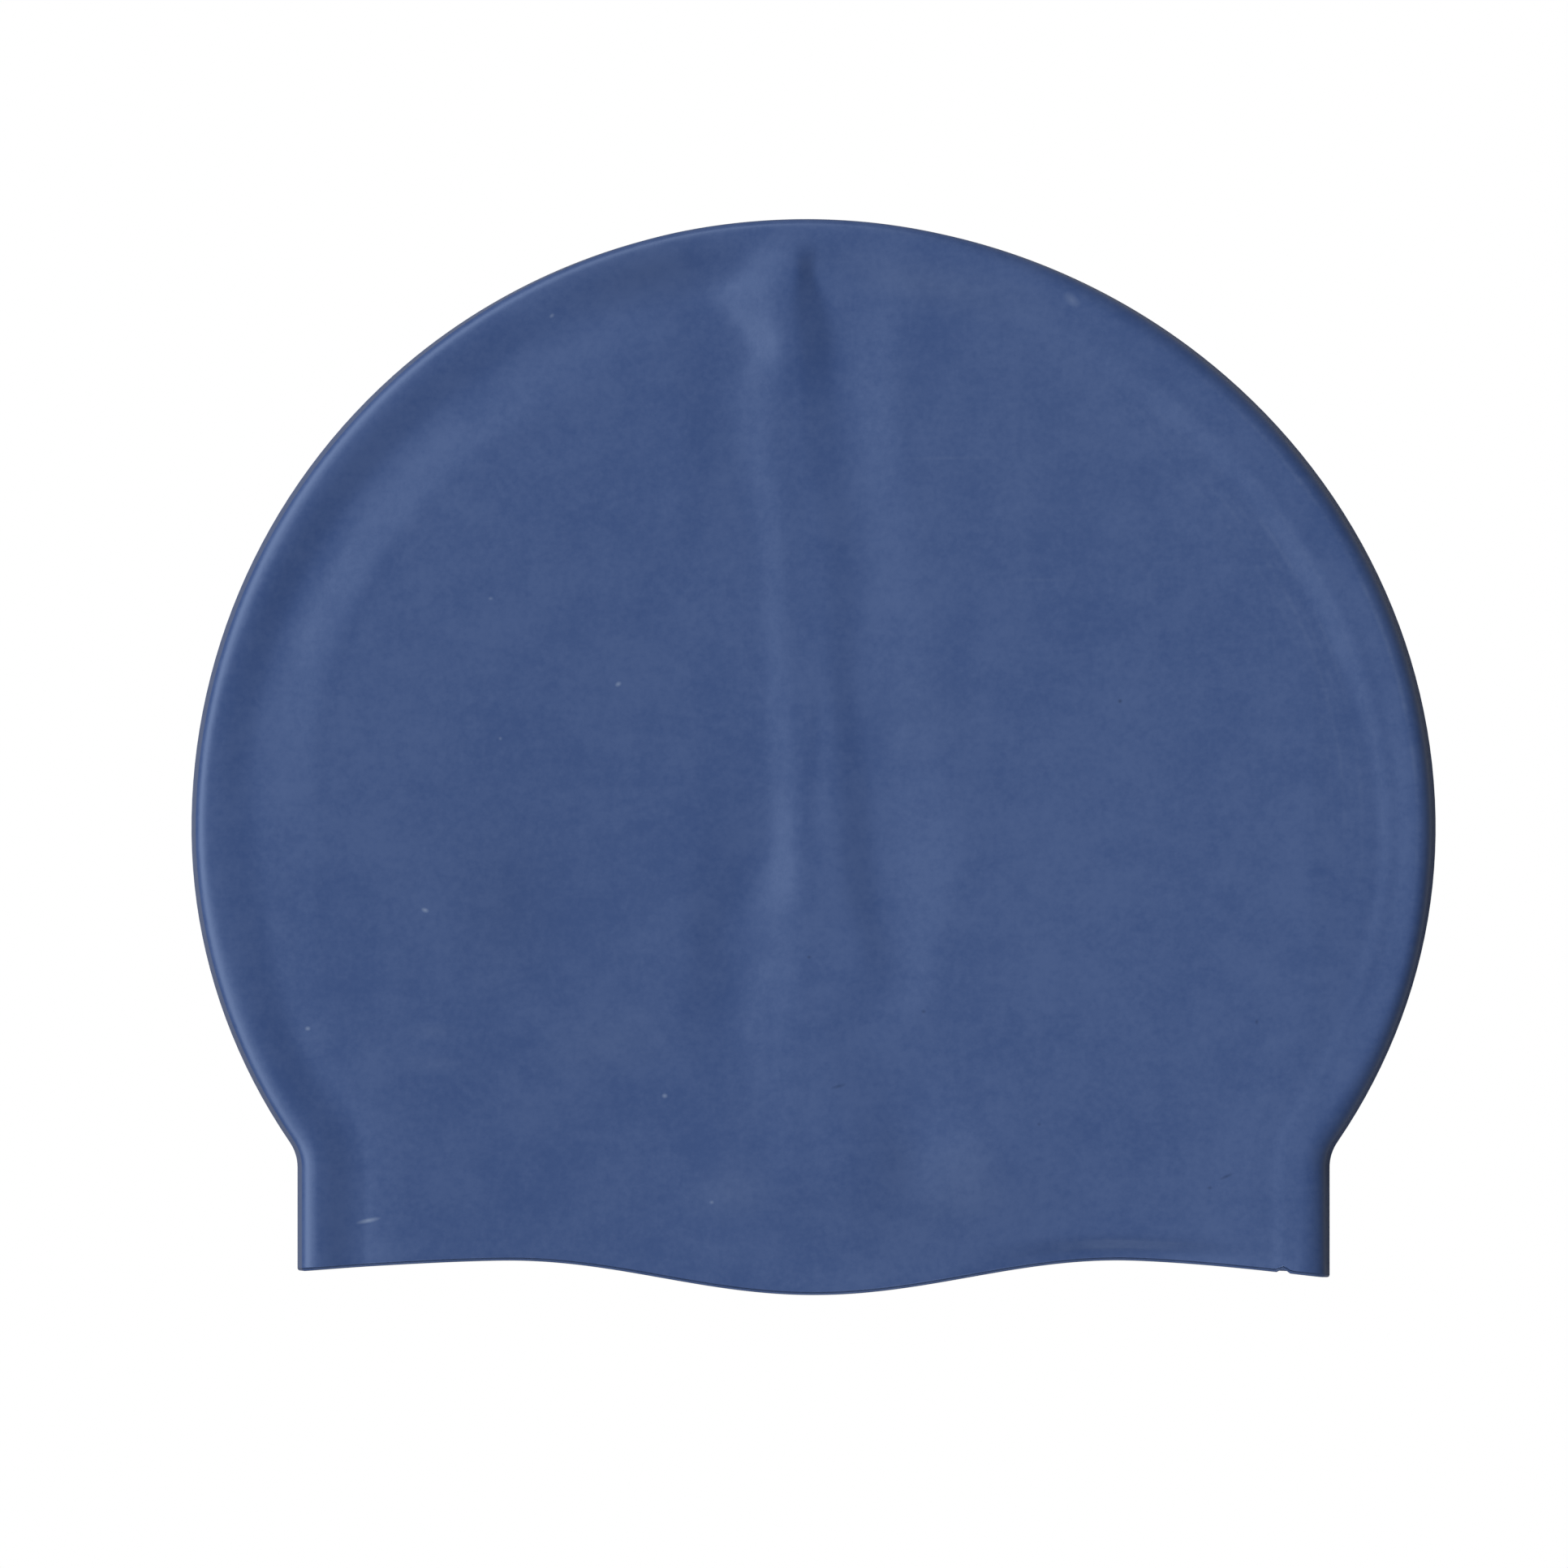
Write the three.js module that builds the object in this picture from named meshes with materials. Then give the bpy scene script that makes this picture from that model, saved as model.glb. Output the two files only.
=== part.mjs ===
// A moulded silicone swim cap lying flat on its side: a thin hollow pouch, open along its waved lip.
// X runs from the forehead corner of the lip to the nape corner, Y from the lip to the crown, Z is up.
// Lengths are millimetres. The origin is on the surface below, at the middle of the cap's outline.
import * as THREE from "three";

// Outline, seen from above
const CAP_WIDTH = 220; // across the widest part of the crown
const CAP_LENGTH = 189.6; // from the lowest point of the lip to the top of the crown
const WIDEST_ABOVE_LIP = 82; // from the lowest point of the lip to the widest part
const FLANK_AXIS = 103; // upright half axis of the ellipse that the flanks follow below the widest part
const NECK_WIDTH = 182.5; // between the straight sides that end at the lip's corners
const NECK_ROUNDING = 2.5; // how far the curve between neck and flank reaches each way
const CROWN_LEAN = 1.4; // how far the top of the crown stands towards the forehead

// Lip
const EAR_LOBE_DEPTH = 6.1; // how far the lobe over the ear hangs below the lip beside it
const EAR_LOBE_WIDTH = 108; // between the highest points of the lip beside the lobe
const FOREHEAD_CORNER_DROP = 1.9; // how far the lip falls again towards its forehead corner
const NAPE_CORNER_DROP = 3.1; // and towards its nape corner
const CORNER_DROP_POWER = 1.5; // how late that fall comes
const LIP_WAVE_REACH = 18; // how far above the lip its wave has died out

// Section
const WALL = 1; // silicone wall
const RIM_RADIUS = 2.9; // outside radius of the fold's two rounded corners, at their share 1
const RIM_SIDE = 2.6; // side of the fold between them
const RIM_LEAN = 1; // how far that side leans in towards its top, at its share 1
const INSIDE_RADIUS = 0.3; // smallest radius inside the rounded corners
const BAND_WIDTH = 22; // from the edge to where the band inside the rim meets the face
const GROOVE_DEPTH = 1.2; // moulded groove inside the rim, at its share 1
const FACE_STEP = 1.2; // step between the rim's top and the face, at its share 1
const SLOPE_EASE = 0.3; // share of a slope's width that is rounded at each end

// The band round the crown. along is a share of the outline's length, from the forehead corner of the
// lip to its nape corner. lean is a share of RIM_LEAN. rim and rise are the width and height of the fold's
// upper corner, and rim also the width of its lower one, as shares of RIM_RADIUS. groove is a share of
// GROOVE_DEPTH and step of FACE_STEP, up from the rim's top. at, far, from and to are shares of
// BAND_WIDTH: the bottom and far end of the groove, and where the step starts and ends.
const BAND_COLUMNS = ["along", "lean", "rim", "rise", "groove", "at", "far", "step", "from", "to"];
const BAND = [
  [0, 0.9, 0.72, 0.34, 0.85, 0.5, 0.88, -0.6, 0.12, 0.48],
  [0.05, 0.9, 0.75, 0.34, 0.75, 0.5, 0.9, -0.6, 0.12, 0.48],
  [0.11, 0.9, 0.8, 0.34, 0, 0.44, 0.9, -0.75, 0.15, 0.62],
  [0.16, 0.9, 0.66, 0.33, 0, 0.42, 0.9, -0.55, 0.12, 0.5],
  [0.2, 0.9, 0.66, 0.33, 0.25, 0.44, 1, -0.55, 0.12, 0.46],
  [0.26, 0.9, 0.75, 0.34, 0.8, 0.47, 1, -0.5, 0.12, 0.46],
  [0.31, 0.9, 0.75, 0.34, 0.85, 0.49, 1, -0.45, 0.12, 0.48],
  [0.375, 0.6, 0.66, 0.4, 0.7, 0.48, 1, -0.35, 0.12, 0.46],
  [0.42, 0.3, 0.6, 0.5, 0.55, 0.42, 1, -0.3, 0.12, 0.44],
  [0.455, 0.1, 0.6, 0.6, 0.25, 0.36, 0.9, -0.3, 0.12, 0.44],
  [0.53, 0.1, 0.7, 0.6, 0, 0.3, 0.9, -0.35, 0.25, 0.5],
  [0.59, 0.3, 0.9, 0.85, 0.05, 0.36, 0.9, -0.35, 0.36, 0.6],
  [0.63, 0.5, 1, 0.95, 0, 0.4, 0.9, -0.4, 0.38, 0.62],
  [0.69, 0.7, 0.98, 1, 0, 0.4, 0.9, -0.42, 0.38, 0.62],
  [0.74, 0.8, 0.92, 1, 0, 0.4, 0.9, -0.6, 0.36, 0.66],
  [0.8, 0.8, 0.88, 1, 0, 0.4, 0.9, -0.24, 0.33, 0.52],
  [0.84, 0.8, 0.88, 1, 0, 0.4, 0.9, -0.2, 0.35, 0.47],
  [0.89, 0.8, 0.8, 1, 0, 0.4, 0.9, -0.14, 0.36, 0.5],
  [0.95, 0.9, 1.05, 1, 0, 0.4, 0.9, -0.12, 0.34, 0.47],
  [1, 0.9, 1.2, 1, 0, 0.4, 0.9, -0.12, 0.34, 0.47],
].map((row) => named(BAND_COLUMNS, row));

// The crease that folding left on the top face: a valley in front, a ridge that is flat from left to
// right, and a valley behind. Each point is a place across with its level.
const CREASE_DEPTH = 1; // depth or height at level 1
const CREASE_RUN_OUT = 6; // how far inside the rim the crease has its full height
const CREASE_POINTS = ["start", "front", "left", "right", "back", "end"];
// up is a share of CAP_LENGTH above the lowest point of the lip. The places across are shares of half
// CAP_WIDTH, positive towards the nape, and the levels are shares of CREASE_DEPTH.
const CREASE_COLUMNS = [
  "up", "start", "front", "frontLevel", "left", "leftLevel",
  "right", "rightLevel", "back", "backLevel", "end",
];
const CREASE = [
  [0.05, -0.15, -0.08, 0, -0.03, 0, 0.03, 0, 0.14, 0, 0.25],
  [0.15, -0.18, -0.08, -0.1, -0.027, 0.08, 0.027, 0.08, 0.145, -0.3, 0.31],
  [0.21, -0.23, -0.11, -0.35, -0.02, 0.05, 0, 0.05, 0.12, -0.1, 0.22],
  [0.28, -0.23, -0.115, -0.55, -0.018, 0, 0.01, 0, 0.11, -0.1, 0.18],
  [0.3, -0.22, -0.115, -0.65, -0.018, 0, 0.07, 0.15, 0.138, -0.45, 0.23],
  [0.33, -0.22, -0.114, -0.7, -0.018, 0, 0.065, 0.15, 0.128, -0.6, 0.23],
  [0.41, -0.22, -0.086, -0.9, -0.02, -0.1, 0.022, 0.1, 0.096, -0.95, 0.26],
  [0.46, -0.21, -0.09, -0.4, -0.025, 0.15, 0.03, 0.25, 0.093, -0.6, 0.23],
  [0.52, -0.2, -0.095, -0.2, -0.028, 0.3, 0.036, 0.4, 0.091, -0.4, 0.18],
  [0.67, -0.2, -0.095, -0.25, -0.032, 0.08, -0.018, 0.08, 0.073, -0.42, 0.17],
  [0.79, -0.22, -0.128, -0.55, -0.06, -0.22, -0.05, -0.22, 0.055, -0.72, 0.17],
  [0.89, -0.25, -0.125, -0.3, -0.04, 1, -0.036, 1, 0.041, -0.5, 0.16],
  [0.94, -0.3, -0.22, -0.45, -0.042, 1.05, -0.038, 1.05, 0.03, -0.25, 0.24],
  [1, -0.3, -0.22, 0, -0.042, 0, -0.038, 0, 0.03, 0, 0.24],
].map((row) => named(CREASE_COLUMNS, row));

// How finely the faces are divided
const NECK_STATIONS = 3; // on the straight side above the lip's corner
const ROUNDING_STATIONS = 3; // on the curve between neck and flank
const FLANK_STATIONS = 18; // on the flank, up to the shoulder of the crown
const TOP_STATIONS = 40; // from one shoulder to the other
const SHOULDER_ANGLE = THREE.MathUtils.degToRad(48); // where the shoulder lies on the crown's ellipse
const MIDDLE_CROWDING = 0.55; // how much closer the stations are at the crease than at the shoulders
const RIM_STEPS = 4; // in each quarter of the round rim
const BAND_STEPS = 8; // from the rim to the face

const HALF_WIDTH = CAP_WIDTH / 2;
const HALF_NECK = NECK_WIDTH / 2;
const RIM_THICKNESS = 2 * RIM_RADIUS + RIM_SIDE;
const SIDE_STATIONS = NECK_STATIONS + ROUNDING_STATIONS + FLANK_STATIONS;
const CROWN_AXIS = CAP_LENGTH - WIDEST_ABOVE_LIP;

// A row of a table with its numbers under their columns' names.
function named(columns, row) {
  return Object.fromEntries(columns.map((name, i) => [name, row[i]]));
}

function smooth(share) {
  const t = THREE.MathUtils.clamp(share, 0, 1);
  return t * t * (3 - 2 * t);
}

// From 0 to 1 at an even slope, rounded at both ends.
function eased(share) {
  const t = THREE.MathUtils.clamp(share, 0, 1);
  const low = Math.min(t, SLOPE_EASE);
  const even = THREE.MathUtils.clamp(t - SLOPE_EASE, 0, 1 - 2 * SLOPE_EASE);
  const high = Math.max(t - 1 + SLOPE_EASE, 0);
  return (low ** 2 / (2 * SLOPE_EASE) + even + high - high ** 2 / (2 * SLOPE_EASE)) / (1 - SLOPE_EASE);
}

// The row of a table at a place between two of its rows, with every column eased from one to the next.
function rowAt(table, key, place) {
  let next = table.findIndex((row) => row[key] >= place);
  if (next === -1) next = table.length - 1;
  const before = table[Math.max(next - 1, 0)];
  const after = table[next];
  const span = after[key] - before[key];
  const share = span > 0 ? smooth((place - before[key]) / span) : 0;
  const row = {};
  for (const column of Object.keys(before)) {
    row[column] = THREE.MathUtils.lerp(before[column], after[column], share);
  }
  return row;
}

// Height of the lip's edge above its lowest point, at a place across.
function lipRise(x) {
  const lobeHalf = EAR_LOBE_WIDTH / 2;
  const lobe = (EAR_LOBE_DEPTH * (1 - Math.cos(Math.PI * Math.min(Math.abs(x) / lobeHalf, 1)))) / 2;
  const beyond = Math.max(Math.abs(x) - lobeHalf, 0) / (HALF_NECK - lobeHalf);
  const drop = x < 0 ? FOREHEAD_CORNER_DROP : NAPE_CORNER_DROP;
  return lobe - drop * beyond ** CORNER_DROP_POWER;
}

// Height above a straight lip of a point on the forehead side of the crown's and flank's ellipses.
function flankPoint(angle) {
  const axis = angle > 0 ? CROWN_AXIS : FLANK_AXIS;
  return new THREE.Vector2(
    -HALF_WIDTH * Math.cos(angle),
    WIDEST_ABOVE_LIP + axis * Math.sin(angle),
  );
}

// One side of the outline, from the lip's corner up to the shoulder.
function sidePoints() {
  const cornerAngle = -Math.acos(HALF_NECK / HALF_WIDTH);
  const corner = flankPoint(cornerAngle);
  const flankStart = cornerAngle + NECK_ROUNDING / FLANK_AXIS;
  const neckTop = new THREE.Vector2(-HALF_NECK, corner.y - NECK_ROUNDING);
  const rounding = new THREE.QuadraticBezierCurve(neckTop, corner, flankPoint(flankStart));
  const points = rounding.getPoints(ROUNDING_STATIONS);
  for (let i = NECK_STATIONS - 1; i >= 0; i--) {
    points.unshift(new THREE.Vector2(-HALF_NECK, (neckTop.y * i) / NECK_STATIONS));
  }
  for (let i = 1; i <= FLANK_STATIONS; i++) {
    points.push(flankPoint(THREE.MathUtils.lerp(flankStart, SHOULDER_ANGLE, i / FLANK_STATIONS)));
  }
  return points;
}

// The arch between the shoulders, without its end points, with closer stations near the crease.
function archPoints() {
  const points = [];
  for (let i = 1; i < TOP_STATIONS; i++) {
    const even = (2 * i) / TOP_STATIONS - 1;
    const crowded = even * (1 - MIDDLE_CROWDING * (1 - even * even));
    const angle = Math.PI / 2 + crowded * (Math.PI / 2 - SHOULDER_ANGLE);
    points.push(flankPoint(angle));
  }
  return points;
}

// Stations round the crown from the lip's forehead corner to its nape corner. Each has its point, the way
// inwards, and the row of the band's table that holds there.
function crownStations() {
  const side = sidePoints();
  const mirrored = side.map((p) => new THREE.Vector2(-p.x, p.y)).reverse();
  const points = [...side, ...archPoints(), ...mirrored];
  const last = points.length - 1;
  const lengths = [0];
  for (let i = 1; i <= last; i++) lengths.push(lengths[i - 1] + points[i].distanceTo(points[i - 1]));
  return points.map((point, i) => {
    const ahead = new THREE.Vector2().subVectors(points[Math.min(i + 1, last)], points[Math.max(i - 1, 0)]);
    const inward = new THREE.Vector2(ahead.y, -ahead.x).normalize();
    return { point, inward, band: rowAt(BAND, "along", lengths[i] / lengths[last]) };
  });
}

// Places a point of the straight-lipped plan in the cap's frame: the crown leans and the lip waves.
function placed(plan) {
  const above = Math.max(plan.y - WIDEST_ABOVE_LIP, 0) / CROWN_AXIS;
  const wave = lipRise(plan.x) * (1 - smooth(plan.y / LIP_WAVE_REACH));
  return new THREE.Vector2(
    plan.x - CROWN_LEAN * above * above,
    plan.y + wave - CAP_LENGTH / 2,
  );
}

function creaseHeight(place) {
  const row = rowAt(CREASE, "up", place.y / CAP_LENGTH + 0.5);
  const level = (name) => row[`${name}Level`] ?? 0;
  let height = 0;
  for (let i = 1; i < CREASE_POINTS.length; i++) {
    const [before, after] = [CREASE_POINTS[i - 1], CREASE_POINTS[i]];
    const share = (place.x / HALF_WIDTH - row[before]) / (row[after] - row[before]);
    height += (level(after) - level(before)) * eased(share);
  }
  return CREASE_DEPTH * height;
}

// Distance in from the edge on a rounded corner of the fold, before the lean. turn is 0 at the fold's side
// and a quarter turn at its top or bottom, and depth is 0 on the outside of the wall.
function cornerInset(band, depth, turn) {
  const width = RIM_RADIUS * band.rim;
  return width - Math.max(width - depth, INSIDE_RADIUS) * Math.cos(turn);
}

// Height on the fold's upper corner.
function cornerHeight(band, depth, turn) {
  const height = RIM_RADIUS * band.rise;
  const top = RIM_THICKNESS - Math.max(depth, height);
  return top + Math.max(height - depth, 0) * Math.sin(turn);
}

// Where the fold's upper corner ends and the band begins.
function crestInset(band) {
  return RIM_LEAN * band.lean + RIM_RADIUS * band.rim;
}

// Distances in from the edge at which the band is divided, the last of them at the face.
function bandInset(band, step) {
  return THREE.MathUtils.lerp(crestInset(band), BAND_WIDTH, step / BAND_STEPS);
}

// Outside height of the top face in the band, at a distance in from the edge.
function bandHeight(place, inset, band) {
  const crest = crestInset(band);
  const share = inset / BAND_WIDTH;
  const step = FACE_STEP * band.step * smooth((share - band.from) / (band.to - band.from));
  const bottom = band.at * BAND_WIDTH;
  const reach = inset < bottom ? bottom - crest : band.far * BAND_WIDTH - bottom;
  const groove = GROOVE_DEPTH * band.groove * (1 - eased(Math.abs(inset - bottom) / reach));
  const crease = creaseHeight(place) * smooth((inset - crest) / CREASE_RUN_OUT);
  return RIM_THICKNESS + step - groove + crease;
}

// Collects the corners and triangles of the shell.
class Shell {
  corners = [];
  triangles = [];

  corner(place, z) {
    this.corners.push(place.x, place.y, z);
    return this.corners.length / 3 - 1;
  }

  // Two rows of corners joined by a strip; flipped turns its faces to the other side.
  strip(lower, upper, flipped) {
    for (let i = 0; i + 1 < lower.length; i++) {
      this.triangle(lower[i], upper[i], upper[i + 1], flipped);
      this.triangle(lower[i], upper[i + 1], lower[i + 1], flipped);
    }
  }

  triangle(a, b, c, flipped) {
    this.triangles.push(...(flipped ? [a, c, b] : [a, b, c]));
  }

  geometry() {
    const made = new THREE.BufferGeometry();
    made.setAttribute("position", new THREE.Float32BufferAttribute(this.corners, 3));
    made.setIndex(this.triangles);
    made.computeVertexNormals();
    return made;
  }
}

// The face inside the band: rows from the lip up, each from forehead to nape, stretched between the band's
// inner edges. x and y are the plan, z is how far the face stands above the rim's top.
function facePlan(stations) {
  const edge = stations.map(({ point, inward, band }) => {
    const plan = point.clone().addScaledVector(inward, BAND_WIDTH);
    return new THREE.Vector3(plan.x, plan.y, FACE_STEP * band.step);
  });
  const last = edge.length - 1;
  const archLeft = edge[SIDE_STATIONS];
  const archRight = edge[last - SIDE_STATIONS];
  const rows = [];
  for (let i = 0; i <= SIDE_STATIONS; i++) {
    const v = (edge[i].y - edge[0].y) / (archLeft.y - edge[0].y);
    const row = [];
    for (let j = 0; j <= TOP_STATIONS; j++) {
      const u = j / TOP_STATIONS;
      const arch = edge[SIDE_STATIONS + j];
      const lip = edge[0].clone().lerp(edge[last], (arch.x - archLeft.x) / (archRight.x - archLeft.x));
      const across = edge[i].clone().lerp(edge[last - i], u);
      const upright = lip.lerp(arch, v);
      const corners = edge[0].clone().lerp(edge[last], u).lerp(archLeft.clone().lerp(archRight, u), v);
      row.push(across.add(upright).sub(corners));
    }
    rows.push(row);
  }
  return rows;
}

// One side of the wall, at depth 0 outside and a wall's depth inside: the flat bottom, the folded rim, the
// band and the face. Returns its edge along the lip as a closed loop.
function addSkin(shell, stations, depth, flipped) {
  const rings = [];
  const addRing = (insetAt, heightAt) => {
    const ring = stations.map(({ point, inward, band }) => {
      const inset = insetAt(band);
      const place = placed(point.clone().addScaledVector(inward, inset));
      return shell.corner(place, heightAt(place, inset, band));
    });
    if (rings.length) shell.strip(rings[rings.length - 1], ring, flipped);
    rings.push(ring);
  };
  const turns = Array.from({ length: RIM_STEPS + 1 }, (_, i) => ((i / RIM_STEPS) * Math.PI) / 2);
  for (const turn of turns.map((upper) => upper - Math.PI / 2)) {
    addRing(
      (band) => cornerInset(band, depth, turn),
      () => RIM_RADIUS + (RIM_RADIUS - depth) * Math.sin(turn),
    );
  }
  for (const turn of turns) {
    addRing(
      (band) => RIM_LEAN * band.lean + cornerInset(band, depth, turn),
      (place, inset, band) => cornerHeight(band, depth, turn),
    );
  }
  for (let i = 1; i <= BAND_STEPS; i++) {
    addRing((band) => bandInset(band, i), (...at) => bandHeight(...at) - depth);
  }

  const bandEdge = rings[rings.length - 1];
  const last = bandEdge.length - 1;
  const plan = facePlan(stations);
  const rows = plan.map((row, i) => row.map((point, j) => {
    if (i === SIDE_STATIONS) return bandEdge[SIDE_STATIONS + j];
    if (j === 0) return bandEdge[i];
    if (j === TOP_STATIONS) return bandEdge[last - i];
    const place = placed(point);
    return shell.corner(place, RIM_THICKNESS + point.z + creaseHeight(place) - depth);
  }));
  for (let i = 0; i < SIDE_STATIONS; i++) shell.strip(rows[i], rows[i + 1], !flipped);

  // The bottom lip has the plan of the top one, and the flat bottom is filled inside it.
  const lipPlan = [...plan[0]];
  for (let i = BAND_STEPS - 1; i > 0; i--) {
    lipPlan.unshift(new THREE.Vector2(bandInset(stations[0].band, i) - HALF_NECK, 0));
    lipPlan.push(new THREE.Vector2(HALF_NECK - bandInset(stations[last].band, i), 0));
  }
  const bottomLip = lipPlan.map((point) => shell.corner(placed(point), depth));
  const contour = [...rings[0], ...bottomLip.slice().reverse()];
  const flat = contour.map((c) => new THREE.Vector2(shell.corners[3 * c], shell.corners[3 * c + 1]));
  for (const [a, b, c] of THREE.ShapeUtils.triangulateShape(flat, [])) {
    shell.triangle(contour[a], contour[b], contour[c], !flipped);
  }

  const foreheadEnds = rings.map((ring) => ring[0]);
  const napeEnds = rings.map((ring) => ring[last]).reverse();
  bottomLip.reverse();
  return [...foreheadEnds, ...rows[0].slice(1, -1), ...napeEnds, ...bottomLip, foreheadEnds[0]];
}

function capShell() {
  const shell = new Shell();
  const stations = crownStations();
  const outsideLip = addSkin(shell, stations, 0, false);
  const insideLip = addSkin(shell, stations, WALL, true);
  shell.strip(outsideLip, insideLip, false);
  const silicone = new THREE.MeshStandardMaterial({ color: 0x44577f, roughness: 0.55, metalness: 0 });
  const mesh = new THREE.Mesh(shell.geometry(), silicone);
  mesh.name = "cap_shell";
  return mesh;
}

const swimCap = new THREE.Group();
swimCap.add(capShell());

export default swimCap;
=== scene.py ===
"""A moulded silicone swim cap lying flat, seen from straight above.

The shell has the outline of the solid that it replaces, and its section and crease from fuller tables. It is
more finely divided, with a rounded lip, soft dents and the silicone's finish, in which some light and shade are
painted. Lengths are millimetres, and metres for the lights, the floor and the camera.
"""
import math

import bpy
import numpy as np
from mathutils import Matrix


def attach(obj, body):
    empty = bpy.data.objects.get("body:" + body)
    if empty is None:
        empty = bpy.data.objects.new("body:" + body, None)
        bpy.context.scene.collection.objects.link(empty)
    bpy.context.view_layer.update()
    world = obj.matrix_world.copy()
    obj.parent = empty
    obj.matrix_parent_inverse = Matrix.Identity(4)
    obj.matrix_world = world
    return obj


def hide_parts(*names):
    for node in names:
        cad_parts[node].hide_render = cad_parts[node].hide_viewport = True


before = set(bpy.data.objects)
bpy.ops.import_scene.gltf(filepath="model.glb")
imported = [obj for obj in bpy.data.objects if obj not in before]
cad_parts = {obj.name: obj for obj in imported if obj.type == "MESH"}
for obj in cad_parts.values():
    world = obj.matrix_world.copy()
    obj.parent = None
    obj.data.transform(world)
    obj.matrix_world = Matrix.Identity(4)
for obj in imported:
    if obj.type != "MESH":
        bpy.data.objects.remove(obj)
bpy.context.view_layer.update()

MM = 0.001

# Outline, seen from above
CAP_WIDTH = 220.0
CAP_LENGTH = 189.6
WIDEST_ABOVE_LIP = 82.0
FLANK_AXIS = 103.0
NECK_WIDTH = 182.5
NECK_ROUNDING = 2.5
CROWN_LEAN = 1.4

# Lip
EAR_LOBE_DEPTH = 6.1
EAR_LOBE_WIDTH = 108.0
FOREHEAD_CORNER_DROP = 1.9
NAPE_CORNER_DROP = 3.1
CORNER_DROP_POWER = 1.5
LIP_WAVE_REACH = 18.0  # how far above the lip its wave has died out
LIP_NICK = 0.7  # a small nick near the nape corner
LIP_NICK_AT = 82.9
LIP_NICK_HALF_WIDTH = 1.3
LIP_NICK_REACH = 2.5

# Section
WALL = 1.0
RIM_RADIUS = 2.9  # outside radius of the fold's two rounded corners, at their share 1
RIM_SIDE = 2.6  # upright side of the fold between them
RIM_LEAN = 1.0  # how far that side leans in, at its share 1
INSIDE_RADIUS = 0.3  # smallest radius inside the rounded corners
BAND_WIDTH = 22.0  # from the edge to where the band inside the rim meets the face
GROOVE_DEPTH = 1.2  # moulded groove inside the rim, at its share 1
FACE_STEP = 1.2  # step between the rim's top and the face, at its share 1
SLOPE_EASE = 0.3  # share of a slope's width that is rounded at each end
FACE_SAG = 1.6  # how far the middle of the face hangs below its edges
CROWN_SAG_LOSS = 0.5  # share of that sag which is lost at the crown
UNDERSIDE_GROOVE = 0.4  # the lower face shows the same moulding, pressed nearly flat
UNDERSIDE_GROOVE_AT = 0.46 * BAND_WIDTH
UNDERSIDE_GROOVE_HALF_WIDTH = 6.0

# The section at places along the outline, from the forehead corner of the lip to its nape corner. lean, rim
# (width of the corners), rise (height of the upper one), groove, early and step are shares of the sizes above.
# early is a fall close inside the rim. at and far are the groove's bottom and far end, start and end those of
# the step, as shares of BAND_WIDTH. fade tells how softly the groove's far side runs out.
BAND_COLUMNS = (
    "along", "lean", "rim", "rise", "early", "groove", "at", "far", "fade", "step", "start", "end",
)
BAND = np.array([
    (0.00, 0.9, 1.00, 0.36, 0.00, 0.60, 0.54, 1.06, 1.0, -0.50, 0.12, 0.44),
    (0.05, 0.9, 1.00, 0.36, 0.00, 0.50, 0.54, 1.06, 1.0, -0.55, 0.12, 0.46),
    (0.11, 0.9, 1.06, 0.37, 0.00, 0.00, 0.44, 0.90, 0.0, -0.85, 0.16, 0.56),
    (0.16, 0.9, 0.78, 0.33, 0.00, 0.00, 0.42, 0.90, 0.0, -0.68, 0.12, 0.58),
    (0.20, 0.9, 0.76, 0.33, 0.00, 0.18, 0.50, 1.00, 0.0, -0.60, 0.12, 0.50),
    (0.26, 0.9, 0.94, 0.35, 0.00, 0.72, 0.50, 0.96, 0.0, -0.50, 0.12, 0.46),
    (0.31, 0.9, 0.82, 0.34, 0.00, 0.76, 0.49, 0.98, 0.0, -0.40, 0.12, 0.48),
    (0.375, 0.6, 0.66, 0.40, 0.00, 0.60, 0.50, 0.98, 0.0, -0.14, 0.12, 0.46),
    (0.42, 0.3, 0.60, 0.50, 0.00, 0.42, 0.49, 0.95, 0.0, -0.04, 0.16, 0.44),
    (0.455, 0.1, 0.60, 0.60, 0.00, 0.20, 0.38, 0.90, 0.0, -0.10, 0.16, 0.44),
    (0.48, 0.1, 0.62, 0.60, 0.00, 0.05, 0.32, 0.90, 0.0, -0.10, 0.20, 0.50),
    (0.53, 0.1, 0.72, 0.64, 0.00, 0.00, 0.30, 0.90, 0.0, -0.20, 0.25, 0.50),
    (0.59, 0.3, 1.05, 0.90, 0.05, 0.05, 0.36, 0.90, 0.0, -0.30, 0.36, 0.60),
    (0.63, 0.5, 1.08, 0.95, 0.08, 0.00, 0.40, 0.90, 0.0, -0.38, 0.38, 0.62),
    (0.69, 0.7, 1.00, 1.00, 0.08, 0.00, 0.40, 0.90, 0.0, -0.36, 0.38, 0.62),
    (0.74, 0.8, 1.02, 1.00, 0.08, 0.00, 0.40, 0.90, 0.0, -0.55, 0.36, 0.64),
    (0.80, 0.8, 0.97, 1.00, 0.20, 0.00, 0.40, 0.90, 0.0, -0.24, 0.35, 0.54),
    (0.84, 0.8, 0.95, 1.00, 0.20, 0.00, 0.40, 0.90, 0.0, -0.18, 0.35, 0.48),
    (0.89, 0.6, 0.88, 1.00, 0.16, 0.00, 0.40, 0.90, 0.0, -0.10, 0.36, 0.50),
    (0.95, 0.8, 1.34, 1.00, 0.08, 0.00, 0.40, 0.90, 0.0, -0.12, 0.36, 0.50),
    (1.00, 0.8, 1.58, 1.00, 0.05, 0.00, 0.40, 0.90, 0.0, -0.12, 0.37, 0.49),
])
EARLY_REACH = 4.5  # how far inside the rim's crest the early fall ends

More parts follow.
